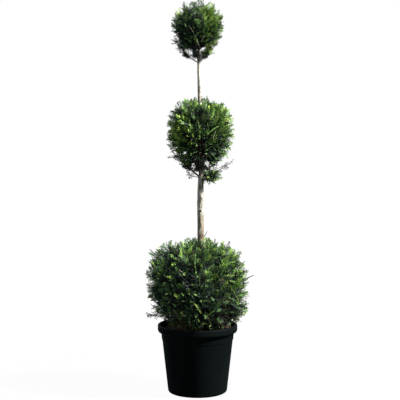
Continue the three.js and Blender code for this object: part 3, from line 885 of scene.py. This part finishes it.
def make_trunk():
    top = TRUNK_STATIONS[-1, 2]
    z = np.linspace(TRUNK_FOOT, top, int((top - TRUNK_FOOT) / TRUNK_RING_STEP))
    angles = np.arange(TRUNK_SIDES) * TURN / TRUNK_SIDES
    foot = np.exp((SOIL_TOP - z) / ROOT_FLARE_HEIGHT)[:, None]
    lobes = 1 + ROOT_LOBE_DEPTH * foot * np.cos(ROOT_LOBES * (angles[None] + math.pi / 2))
    radius = trunk_radius(z)[:, None] * lobes
    middle = trunk_middle(z)
    around = circle(TRUNK_SIDES)
    plain = middle[:, None] + radius[..., None] * around
    relief = bark_relief((plain - [*middle[0, :2], 0]).reshape(-1, 3), TRUNK_BARK_FINENESS)
    out = radius * (1 + relief.reshape(radius.shape)) + knot_swelling(z[:, None], angles[None])
    points, faces = capped(middle[:, None] + out[..., None] * around)
    trunk = piece("trunk_bark", points, faces, "bark")
    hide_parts("trunk")
    make_scars()


def make_scars():
    """Near-black ends of the cut side shoots, set in the trunk's knots; their darkness is partly painted
    shadow under the knots.
    """
    scars = Heap()
    steps = np.linspace(*SCAR_SPAN, len(SCAR_PROFILE))[:, None]
    for height, bearing, _, radius in KNOTS:
        out = bearing_of(bearing)
        middle = trunk_middle(height) + out * trunk_radius(height)
        scars.add(*tube(middle + steps * out, radius * SCAR_PROFILE, SCAR_SIDES))
    heap_piece("pruning_scars", scars, "scars", "bark")


# Foliage: outlines


def lumps(ball, directions):
    x, y, z = np.moveaxis(OUTLINE_WAVES * directions, -1, 0)
    seed = ball["seed"]
    return np.sin(x + seed) * np.sin(y - seed) + np.sin(z + seed)


def ball_reach(ball, directions):
    """Distance from a ball's centre to its clipped outline in unit directions, before its lean."""
    z = directions[..., 2]
    upper = z > 0
    power = np.where(upper, ball["upper_power"], ball["lower_power"])
    flat = np.hypot(directions[..., 0], directions[..., 1]) / ball["wide"]
    tall = np.abs(z) / np.where(upper, ball["up"], ball["down"])
    even = (flat**power + tall**power) ** (-1 / power)
    return even * (1 + OUTLINE_LUMP * lumps(ball, directions))


def leaned(ball, offsets, way):
    """Offsets from a ball's centre with its lean put in (way 1) or taken out (way -1)."""
    shift = way * ball["lean"] * np.maximum(0, -offsets[..., 2])
    return offsets + np.multiply.outer(shift, RIGHT)


def ball_point(ball, direction, share):
    offset = direction * ball_reach(ball, direction) * share
    return ball["centre"] + leaned(ball, offset, 1)


def outwardness(ball, points):
    """0 at a ball's centre, 1 on its clipped outline."""
    offset = leaned(ball, points - ball["centre"], -1)
    return norm(offset, axis=-1) / ball_reach(ball, unit(offset))


def front_of(ball, x, z):
    """The point on the front of a ball's outline with the given x and z."""
    near, far = -FRONT_START * ball["wide"], 0.0
    for _ in range(FRONT_HALVINGS):
        y = (near + far) / 2
        if outwardness(ball, np.array([x, y, z])) > 1:
            near = y
        else:
            far = y
    return np.array([x, far, z])


def even_direction(index, count):
    z = 1 - 2 * (index + 0.5) / count
    flat = math.sqrt(1 - z * z)
    angle = index * GOLDEN_ANGLE
    return np.array([flat * math.cos(angle), flat * math.sin(angle), z])


def bough_bearing(index):
    return bearing_of(BOUGH_PHASE + 360 / BOUGHS * index)


def above_roofs(underside, points):
    """Which points lie above the roof over the bough that they are nearest to."""
    foot = trunk_middle(underside["leaves"])
    outs = np.stack([(points - foot) @ bough_bearing(i) for i in range(BOUGHS)])
    roofs = np.array(underside["roofs"])[np.argmax(outs, axis=0)]
    return points[..., 2] > roofs + underside["roof_slope"] * np.max(outs, axis=0)


def over_pot(points):
    over_rim = np.hypot(points[..., 0], points[..., 1]) > POT_COLLAR_RADIUS - RIM_SIDE
    return points[..., 2] > np.where(over_rim, POT_HEIGHT + OVER_RIM, SOIL_TOP + OVER_SOIL)


def ball_space(name):
    """A test of which points lie in the space of a ball's own foliage."""
    if name in UNDERSIDES:
        return lambda points: above_roofs(UNDERSIDES[name], points)
    return over_pot


def clear_of_trunk(points):
    middle = trunk_middle(points[..., 2]).reshape(points.shape)
    away = np.hypot(points[..., 0] - middle[..., 0], points[..., 1] - middle[..., 1])
    return away > trunk_radius(points[..., 2]) + TRUNK_MARGIN


# Foliage: sprays


def spray_shape(rng, kind):
    """One spray along +Y with its flat side towards Z: small leaves, each with a root and a tip."""
    width = kind["half_width"]
    curl = rng.uniform(-SPRAY_CURL, SPRAY_CURL)

    def stem(y):
        return np.array([curl * math.sin(math.pi * y), y, -kind["droop"] * y * y])

    roots = [stem(y) for y in STEM_ROOTS]
    tips = [stem(y) for y in STEM_TIPS]
    widths = [share * width for share in STEM_WIDTHS]
    for i in range(kind["branchlets"]):
        share = i / (kind["branchlets"] - 1)
        side = 1 if i % 2 else -1
        lean = np.interp(share, (0, 1), kind["lean"]) * rng.uniform(*SPRAY_LEANS)
        length = kind["long"] * (1 - kind["shrink"] * share) * rng.uniform(*BRANCHLET_LENGTHS)
        aim = np.array([side * math.sin(lean), math.cos(lean), rng.normal(0, kind["lift"])])
        roots.append(stem(np.interp(share, (0, 1), kind["span"])))
        tips.append(roots[-1] + length * aim)
        widths.append(width * rng.uniform(*BRANCHLET_WIDTHS))
    return leaf_meshes(np.array(roots), np.array(tips), np.array(widths))


def leaf_meshes(roots, tips, widths):
    """Closed lozenges of four faces, keeled along the underside and ridged across the top."""
    along = unit(tips - roots)
    across = square_to(np.cross(along, UP), along)
    face = np.cross(across, along)
    ridge = roots + LEAF_WIDEST * (tips - roots) + LEAF_KEEL * widths[:, None] * face
    half = widths[:, None] * across
    points = np.stack([roots, ridge + half, tips, ridge - half], 1)
    return repeated(points, np.array([[0, 1, 3], [2, 3, 1], [0, 2, 1], [0, 3, 2]]))


def spray_family(kind):
    rng = np.random.default_rng(kind["seed"])
    return [spray_shape(rng, kind) for _ in range(kind["shapes"])]


SPRAYS = {name: spray_family(kind) for name, kind in SPRAY_KINDS.items()}


class Mass:
    """The sprays of one mass of foliage, dealt out by tint and shape, and its twigs."""

    def __init__(self, name):
        self.name = name
        self.sprays = {}
        self.wood = {kind: Heap() for kind in ("twigs", "bare_twigs", "stray_shoots")}

    def add(self, rng, family, sprays, tones, dry=False):
        order = np.clip((tones * len(GREENS)).astype(int), 0, len(GREENS) - 1)
        tints = np.where(dry, "dry", np.array(GREENS)[order])
        for tint, row in zip(tints, zip(*sprays)):
            shape = int(rng.integers(len(SPRAYS[family])))
            self.sprays.setdefault((tint, family, shape), []).append(row)

    def make(self, nodes):
        heaps = {tint: Heap() for tint in TINTS}
        for (tint, family, shape), rows in self.sprays.items():
            points, triangles = SPRAYS[family][shape]
            roots, aims, faces, lengths = (np.array(column) for column in zip(*rows))
            frames = np.stack([np.cross(aims, faces), aims, faces], 1) * lengths[:, None, None]
            heaps[tint].add(*repeated(roots[:, None] + points @ frames, triangles))
        parts = [(f"{kind}_{self.name}", heap, kind, "bark", True) for kind, heap in self.wood.items()]
        for tint, heap in heaps.items():
            parts.append((f"sprays_{self.name}_{tint}", heap, tint, "foliage", False))
        for name, heap, *look in parts:
            if heap.count:
                obj = heap_piece(name, heap, *look)
                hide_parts(*nodes)


def points_on(path, shares):
    """Points at shares of a twig's length, and the directions that it runs in there."""
    at = shares * (len(path) - 1)
    i = np.minimum(at.astype(int), len(path) - 2)
    step = path[i + 1] - path[i]
    return path[i] + (at - i)[:, None] * step, unit(step)


def sprays_along(rng, path, shares, leans, size, outward):
    """Roots, directions, faces and lengths of sprays that leave a twig by turns round it."""
    roots, along = points_on(path, shares)
    across = square_to(rng.normal(size=3), along)
    other = np.cross(along, across)
    count = len(shares)
    turn = rng.uniform(0, TURN) + GOLDEN_ANGLE * np.arange(count) + rng.normal(0, TURN_SPREAD, count)
    lean = np.linspace(*leans, count) * rng.uniform(*TWIG_LEANS, count)
    sideways = np.cos(turn)[:, None] * across + np.sin(turn)[:, None] * other
    aims = unit(np.cos(lean)[:, None] * along + np.sin(lean)[:, None] * sideways)
    faces = square_to(SPRAY_FACE_OUT * outward + rng.normal(0, SPRAY_FACE_SPREAD, aims.shape), aims)
    return roots, aims, faces, size * rng.uniform(*SPRAY_LENGTHS, count)


def clip_share(ball, roots, tips, limit):
    """How much of each twig's length stays inside a limit of outwardness."""
    inner, outer = outwardness(ball, roots), outwardness(ball, tips)
    share = (limit - inner) / np.maximum(outer - inner, TINY)
    return np.where(outer <= limit, 1.0, np.clip(share, 0, 1))


def growth_and_painted_light_tone(name, points):
    tone = np.zeros(len(points))
    for middle, radius, lift in GROWTH_AND_PAINTED_LIGHT_PATCHES[name]:
        tone += lift * np.exp(-np.sum((points - middle) ** 2, axis=1) / radius**2)
    return tone


def in_hollow(name, point):
    return any(norm(point - middle) < radius for middle, radius in HOLLOWS[name])


def in_opening(name, roots, tips):
    """Which sprays reach into an opening, seen along Y."""
    reach = np.zeros(len(roots), bool)
    start, span = roots[:, ::2], (tips - roots)[:, ::2]
    for x, z, radius in OPENINGS[name]:
        off = np.array([x, z]) - start
        share = np.sum(off * span, axis=1) / np.maximum(np.sum(span * span, axis=1), TINY)
        nearest = off - np.clip(share, 0, 1)[:, None] * span
        reach |= norm(nearest, axis=1) < radius
    return reach


def bared(name, rng, points):
    """Which points lie in a parting in front of the trunk, apart from a few."""
    bare = np.zeros(len(points), bool)
    middle = trunk_middle(points[:, 2]).reshape(-1, 3)
    aside = np.abs(points[:, 0] - middle[:, 0])
    for low, high, half in PARTINGS[name]:
        bare |= (points[:, 2] > low) & (points[:, 2] < high) & (aside < half)
    return bare & (points[:, 1] < middle[:, 1]) & (rng.random(len(points)) < PARTING_BARE)


# Foliage: balls


def limb_path(ball, rng, index):
    """A limb inside a ball, from the trunk to where its shoots leave it."""
    direction = unit(even_direction(index, ball["limbs"]) + rng.uniform(-LIMB_SCATTER, LIMB_SCATTER, 3))
    end = ball_point(ball, direction, LIMB_REACH)
    out = np.hypot(*(end - trunk_middle(end[2]))[:2])
    start = trunk_middle(max(end[2] - LIMB_CLIMB * out, ball["lowest_limb"]))
    bend = (start + end) / 2 - LIMB_SAG * out * UP + rng.normal(0, LIMB_WANDER * out, 3)
    return bezier(start, bend, end, LIMB_STEPS)


def grow_ball(name):
    ball = BALLS[name]
    rng = np.random.default_rng(ball["seed"])
    mass = Mass(name)
    limbs = [limb_path(ball, rng, i) for i in range(ball["limbs"])]
    thick = ball["limb_thick"]
    for path in limbs:
        mass.wood["twigs"].add_limb(path, thick, LIMB_TAPER * thick, LIMB_SIDES)
    site = {
        "plume": ball["plume"], "tone": BALL_TONE, "sprays": ball["shoot_sprays"],
        "limits": OUTLINE_LIMITS, "fits": ball_space(name),
    }
    for path in limbs:
        grow_old_sprays(mass, rng, path, ball["limb_sprays"], site)
    joints = np.concatenate([path[LIMB_STEPS // 2:] for path in limbs])
    for i in range(ball["tufts"]):
        scatter = rng.uniform(-TUFT_SCATTER, TUFT_SCATTER, 3)
        direction = unit(even_direction(i, ball["tufts"]) + scatter)
        if direction[2] < ball["thin_below"] and rng.random() < TUFT_THINNED:
            continue
        aim = unit(direction + TUFT_RISE * UP)
        reach = ball_point(ball, direction, 1.0)
        root = reach - ball["plume"] * aim
        if not site["fits"](root) or in_hollow(name, reach):
            continue
        below = root - SHOOT_DROP * ball["plume"] * UP
        start = joints[np.argmin(norm(joints - below, axis=1))]
        grow_tuft(mass, rng, start, root, aim, site)
    return mass


def grow_tuft(mass, rng, start, root, aim, site):
    """A fan of plumes round the end of a shoot."""
    across = square_to(rng.normal(size=3), aim)
    other = np.cross(aim, across)
    bend = root - SHOOT_CURVE * norm(root - start) * aim
    shoot = bezier(start, bend, root, SHOOT_STEPS)
    mass.wood["twigs"].add_limb(shoot, SHOOT_THICK, TWIG_THICK, SHOOT_SIDES)
    patch = TUFT_TONE * noise.noise(Vector(root / TUFT_TONE_LENGTH))
    tuft_tone = site["tone"] + patch + rng.normal(0, TUFT_TONE_SPREAD)
    tuft_limit = rng.uniform(*site["limits"])
    for i in range(PLUMES):
        open_by = PLUME_OPEN * math.sqrt((i + PLUME_FIRST) / PLUMES)
        turn = GOLDEN_ANGLE * i + rng.normal(0, TURN_SPREAD)
        sideways = math.cos(turn) * across + math.sin(turn) * other
        way = math.cos(open_by) * aim + math.sin(open_by) * sideways
        at = 1 - (1 - PLUMES_FROM) * i / (PLUMES - 1)
        base = shoot[int(round(at * SHOOT_STEPS))]
        tone = tuft_tone + rng.normal(0, PLUME_TONE_SPREAD)
        limit = tuft_limit + rng.normal(0, PLUME_LIMIT_SPREAD)
        grow_plume(mass, rng, base, way, tone, limit, site)
    grow_old_sprays(mass, rng, shoot, site["sprays"], site)


def grow_old_sprays(mass, rng, path, count, site):
    shares = np.linspace(*OLD_SPRAYS_SPAN, count)
    outward = unit(path[-1] - path[0])
    old = sprays_along(rng, path, shares, OLD_SPRAY_LEAN, OLD_SPRAY_SIZE * site["plume"], outward)
    old = fitting(mass.name, rng, old, site)
    kept = len(old[0])
    # Old sprays in the deep and dark tints: partly old foliage, partly painted shade.
    mass.add(rng, "old", old, rng.uniform(*OLD_SPRAY_TONES, kept), rng.random(kept) < OLD_SPRAY_DRY)


def grow_plume(mass, rng, base, way, tone, limit, site):
    """A twig with sprays by turns on its two sides and one on its tip, cut back to the outline."""
    ball = BALLS[mass.name]
    length = site["plume"] * rng.uniform(*PLUME_LENGTHS)
    room = clip_share(ball, base, base + length * way, limit)
    length *= room
    if room < CLIP_LEAST or not site["fits"](base + length * way):
        return
    face = square_to(rng.normal(size=3), way)
    bend = base + length * (way / 2 + PLUME_BEND * rng.normal(size=3))
    path = bezier(base, bend, base + length * way, PLUME_STEPS)
    mass.wood["twigs"].add_limb(path, TWIG_THICK, SHOOT_THIN, SHOOT_SIDES)
    shares = np.linspace(*PLUME_SPRAYS_SPAN, PLUME_SPRAYS)
    roots, along = points_on(path, np.append(shares, PLUME_TIP_FROM))
    sides = np.append(np.where(np.arange(PLUME_SPRAYS) % 2, 1.0, -1.0), 0.0)
    leans = np.append(np.linspace(*SPRAY_LEAN, PLUME_SPRAYS), 0.0)
    leans *= rng.uniform(*SPRAY_LEANS, len(sides))
    across = np.cross(face, along)
    aims = unit(np.cos(leans)[:, None] * along + (sides * np.sin(leans))[:, None] * across)
    lengths = length * np.append(SPRAY_LONG * (1 - SPRAY_SHRINK * shares), PLUME_TIP)
    lengths *= rng.uniform(*SPRAY_LENGTHS, len(sides))
    room = clip_share(ball, roots, roots + lengths[:, None] * aims, limit + SPRAY_OVERHANG)
    lengths *= np.maximum(room, SPRAY_LEAST)
    faces = square_to(face + rng.normal(0, PLUME_FACE_SPREAD, aims.shape), aims)
    # Lighter towards the tips and darker towards the bases: partly new growth, partly painted light and
    # shade.
    tones = tone + TIP_TONE * (np.append(shares, 1.0) - TIP_TONE_FROM)
    tones += rng.normal(0, SPRAY_TONE_SPREAD, len(sides))
    # Patches lighter or darker: partly new growth, partly painted light and shade.
    tones += growth_and_painted_light_tone(mass.name, roots)
    *sprays, tones = fitting(mass.name, rng, (roots, aims, faces, lengths, tones), site)
    dry = rng.random(len(tones)) < dry_share(sprays[0])
    mass.add(rng, "fine", sprays, tones, dry)


def dry_share(points):
    return DRY_SHARE * np.clip((DRY_BELOW - points[:, 2]) / DRY_FADE, 0, 1)


def fitting(name, rng, sprays, site):
    """The sprays that lie in the space of their site and in no parting or opening."""
    roots, aims, lengths = sprays[0], sprays[1], sprays[3]
    tips = roots + aims * lengths[:, None]
    keep = site["fits"](roots) & site["fits"](tips)
    keep &= ~bared(name, rng, tips) & ~in_opening(name, roots, tips)
    return tuple(column[keep] for column in sprays)


# Boughs of the open undersides and their foliage


def bough_path(underside, index):
    out = bough_bearing(index)
    reach = underside["out"][index]
    start = trunk_middle(underside["leaves"] + BOUGH_STAGGER * (index % BOUGH_TIERS))
    tip = start + reach * out + underside["rise"][index] * UP
    bend = (start + tip) / 2 + BOUGH_ARCH * reach * UP
    return bezier(start, bend, tip, BOUGH_STEPS)


def make_bough(name, index):
    underside = UNDERSIDES[name]
    path = bough_path(underside, index)
    radii = underside["thick"] * np.linspace(1, BOUGH_TAPER, len(path))
    points, faces = tube(path, radii, BOUGH_SIDES)
    spine = np.concatenate([np.repeat(path, BOUGH_SIDES, 0), path[:1], path[-1:]])
    points = spine + (points - spine) * (1 + bark_relief(points, BOUGH_BARK_FINENESS))[:, None]
    bough = piece(f"bough_bark_{name}_{index + 1}", points, faces, "boughs")
    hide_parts(f"bough_{name}_{index + 1}")


def grow_clump(mass, index):
    """A stem on from the tip of a bough, and tufts along both."""
    underside = UNDERSIDES[mass.name]
    rng = np.random.default_rng(underside["seed"] + index)
    bough = bough_path(underside, index)
    along = unit(bough[-1] - bough[-2])
    across = np.cross(UP, bough_bearing(index))
    lift = CLUMP_LIFT * underside["rise"][index] / underside["out"][index] - CLUMP_DROOP
    rising = unit(along + underside["stem_lift"][index] * UP)
    stem = bough[-1] + np.linspace(0, underside["stem"][index], STEM_STEPS + 1)[:, None] * rising
    thick = underside["thick"] * BOUGH_TAPER
    mass.wood["twigs"].add_limb(stem, thick, LIMB_TAPER * thick, LIMB_SIDES)
    path = np.concatenate([bough, stem[1:]])
    site = {
        # The clump's tone is partly painted light and shade.
        "plume": underside["plume"], "tone": underside["tones"][index], "sprays": CLUMP_SPRAYS,
        "limits": CLUMP_LIMITS, "fits": clear_of_trunk,
    }
    tufts = underside["tufts"][index]
    for i in range(tufts):
        share = CLUMP_FROM + (1 - CLUMP_FROM) * i / (tufts - 1)
        start = path[int(share * (len(path) - 1))]
        side = (1 if i % 2 else -1) * rng.uniform(*CLUMP_ASIDE)
        aim = unit(CLUMP_ALONG * along + side * across + lift * UP)
        grow_tuft(mass, rng, start, start + CLUMP_SHOOT * underside["plume"] * aim, aim, site)


def grow_strays(mass):
    rng = np.random.default_rng(STRAY_SEED)
    for start, tip, thick, count in STRAYS[mass.name]:
        ends = np.array([start, tip], float)
        path = bezier(ends[0], ends.mean(0) - STRAY_SAG * UP, ends[1], SHOOT_STEPS)
        mass.wood["stray_shoots"].add_limb(path, thick, STRAY_TAPER * thick, LIMB_SIDES)
        if count:
            shares = np.linspace(*STRAY_SPRAYS_SPAN, count)
            sprays = sprays_along(rng, path, shares, SPRAY_LEAN, STRAY_SPRAY, -UP)
            mass.add(rng, "old", sprays, np.full(count, STRAY_TONE))


def grow_shown(mass):
    """Single shoots that lie on the front of a ball."""
    ball = BALLS[mass.name]
    rng = np.random.default_rng(ball["seed"] + 1)
    for start, tip, tint in SHOWN[mass.name]:
        ends = np.array([front_of(ball, *start), front_of(ball, *tip)])
        span = ends[1] - ends[0]
        bow = SHOWN_BOW * norm(span) * square_to(UP, unit(span))
        path = bezier(ends[0], ends.mean(0) + bow, ends[1], SHOOT_STEPS) - SHOWN_SUNK * VIEWER
        heap = mass.wood["twigs" if tint else "bare_twigs"]
        heap.add_limb(path, SHOWN_THICK, STRAY_TAPER * SHOWN_THICK, LIMB_SIDES)
        if tint:
            shares = np.linspace(*SHOWN_SPRAYS_SPAN, SHOWN_SPRAYS)
            sprays = sprays_along(rng, path, shares, SHOWN_LEAN, SHOWN_SPRAY, VIEWER)
            tones = np.full(SHOWN_SPRAYS, (GREENS.index(tint) + 0.5) / len(GREENS))
            mass.add(rng, "fine", sprays, tones)


# Stage


def make_floor():
    mesh = bpy.data.meshes.new("floor")
    half = FLOOR_HALF
    corners = [(-half, -half, 0), (half, -half, 0), (half, half, 0), (-half, half, 0)]
    mesh.from_pydata(corners, [], [(0, 1, 2, 3)])
    floor = added("floor", mesh)
    look = plain_material("pale_floor", FLOOR_SHADE, FLOOR_ROUGHNESS, specular=0.0)
    tree = look.node_tree
    place = node(tree, "ShaderNodeTexCoord").outputs["Object"]
    away = node(tree, "ShaderNodeVectorMath", {0: place}, operation="LENGTH").outputs["Value"]
    glow = spread(tree, away, FLOOR_GLOW_FROM, FLOOR_GLOW)
    fill(tree, tree.nodes["Principled BSDF"], {"Emission Color": WHITE, "Emission Strength": glow})
    mesh.materials.append(look)
    floor.visible_diffuse = False
    floor.visible_glossy = False


def set_up(name, data, place, aim):
    """A light or camera at its place, turned to what it is aimed at."""
    obj = added(name, data)
    obj.location = place
    obj.rotation_euler = (Vector(aim) - Vector(place)).to_track_quat("-Z", "Y").to_euler()
    return obj


def make_light(name, place, aim, width, power, colour):
    data = bpy.data.lights.new(name, "AREA")
    data.shape = "DISK"
    data.size = width
    data.energy = power
    data.color = colour
    set_up(name, data, place, aim)


def make_world():
    world = bpy.data.worlds.new("studio")
    bpy.context.scene.world = world
    world.use_nodes = True
    tree = world.node_tree
    soft = tree.nodes["Background"]
    fill(tree, soft, {"Color": GLOW_COLOUR, "Strength": GLOW_STRENGTH})
    white = node(tree, "ShaderNodeBackground", {"Color": WHITE, "Strength": 1.0})
    seen = node(tree, "ShaderNodeLightPath").outputs["Is Camera Ray"]
    inputs = {"Fac": seen, 1: soft.outputs["Background"], 2: white.outputs["Background"]}
    mixed = node(tree, "ShaderNodeMixShader", inputs).outputs["Shader"]
    fill(tree, tree.nodes["World Output"], {"Surface": mixed})


def make_camera():
    data = bpy.data.cameras.new("camera")
    data.lens = CAMERA_LENS
    bpy.context.scene.camera = set_up("camera", data, CAMERA_PLACE, CAMERA_AIM)


make_pot()
make_soil()
make_trunk()
for ball_name in BALLS:
    foliage = grow_ball(ball_name)
    replaced = [f"ball_{ball_name}"]
    grow_strays(foliage)
    grow_shown(foliage)
    for number in range(BOUGHS if ball_name in UNDERSIDES else 0):
        make_bough(ball_name, number)
        grow_clump(foliage, number)
        replaced.append(f"clump_{ball_name}_{number + 1}")
    foliage.make(replaced)

make_floor()
make_world()
for lamp, form in LIGHTS.items():
    make_light(lamp, *form)
make_camera()
bpy.context.scene.view_settings.view_transform = "Standard"
